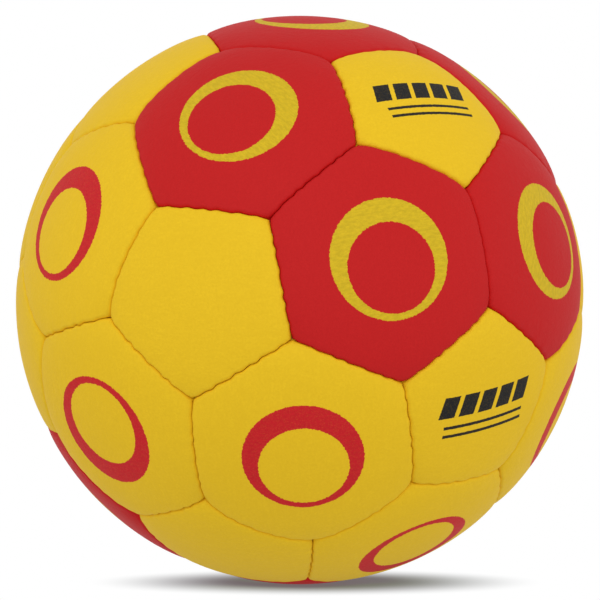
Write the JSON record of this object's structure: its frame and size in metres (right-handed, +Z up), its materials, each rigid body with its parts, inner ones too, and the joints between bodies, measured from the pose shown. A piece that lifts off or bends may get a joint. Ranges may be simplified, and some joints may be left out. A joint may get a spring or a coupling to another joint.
{
  "type": "handball",
  "caption": "Stitched handball of pentagon and hexagon panels in soft synthetic leather, with foam, lining, bladder and a needle valve.",
  "frame": {"origin": "centre of the ball", "axes": "+Z up as the ball lies in the picture; +Y out of the valve; the plain pentagon opposite the valve faces -Y"},
  "size_m": [0.175, 0.1749, 0.175],
  "materials": {
    "skin_yellow": "matte, fine-grained synthetic leather",
    "skin_red": "matte, fine-grained synthetic leather",
    "foam": "closed-cell foam",
    "lining": "woven cotton and polyester cloth",
    "thread": "waxed polyester thread",
    "bladder_rubber": "smooth black latex",
    "valve_rubber": "moulded rubber",
    "core_rubber": "soft moulded rubber"
  },
  "bodies": {
    "root": {"pent_panel_01": "skin_yellow", "pent_panel_02": "skin_yellow", "pent_panel_03": "skin_yellow", "pent_panel_04": "skin_yellow", "pent_panel_05": "skin_yellow", "pent_panel_06": "skin_yellow", "pent_panel_07": "skin_yellow", "pent_panel_08": "skin_yellow", "pent_panel_09": "skin_yellow", "pent_panel_10": "skin_yellow", "pent_panel_11": "skin_yellow", "pent_panel_12": "skin_yellow", "hex_panel_01": "skin_yellow", "hex_panel_02": "skin_red", "hex_panel_03": "skin_red", "hex_panel_04": "skin_yellow", "hex_panel_05": "skin_yellow", "hex_panel_06": "skin_yellow", "hex_panel_07": "skin_red", "hex_panel_08": "skin_red", "hex_panel_09": "skin_yellow", "hex_panel_10": "skin_red", "hex_panel_11": "skin_red", "hex_panel_12": "skin_yellow", "hex_panel_13": "skin_red", "hex_panel_14": "skin_yellow", "hex_panel_15": "skin_red", "hex_panel_16": "skin_red", "hex_panel_17": "skin_yellow", "hex_panel_18": "skin_yellow", "hex_panel_19": "skin_yellow", "hex_panel_20": "skin_red", "foam_pads_pentagon": "foam", "foam_pads_hexagon": "foam", "lining_pads_pentagon": "lining", "lining_pads_hexagon": "lining", "thread_pentagons_valve_side": "thread", "thread_pentagons_far_side": "thread", "thread_between_hexagons": "thread", "bladder": "bladder_rubber", "valve_body": "valve_rubber", "valve_core": "core_rubber", "valve_patch": "bladder_rubber", "balance_patch": "bladder_rubber"}
  },
  "joints": []
}
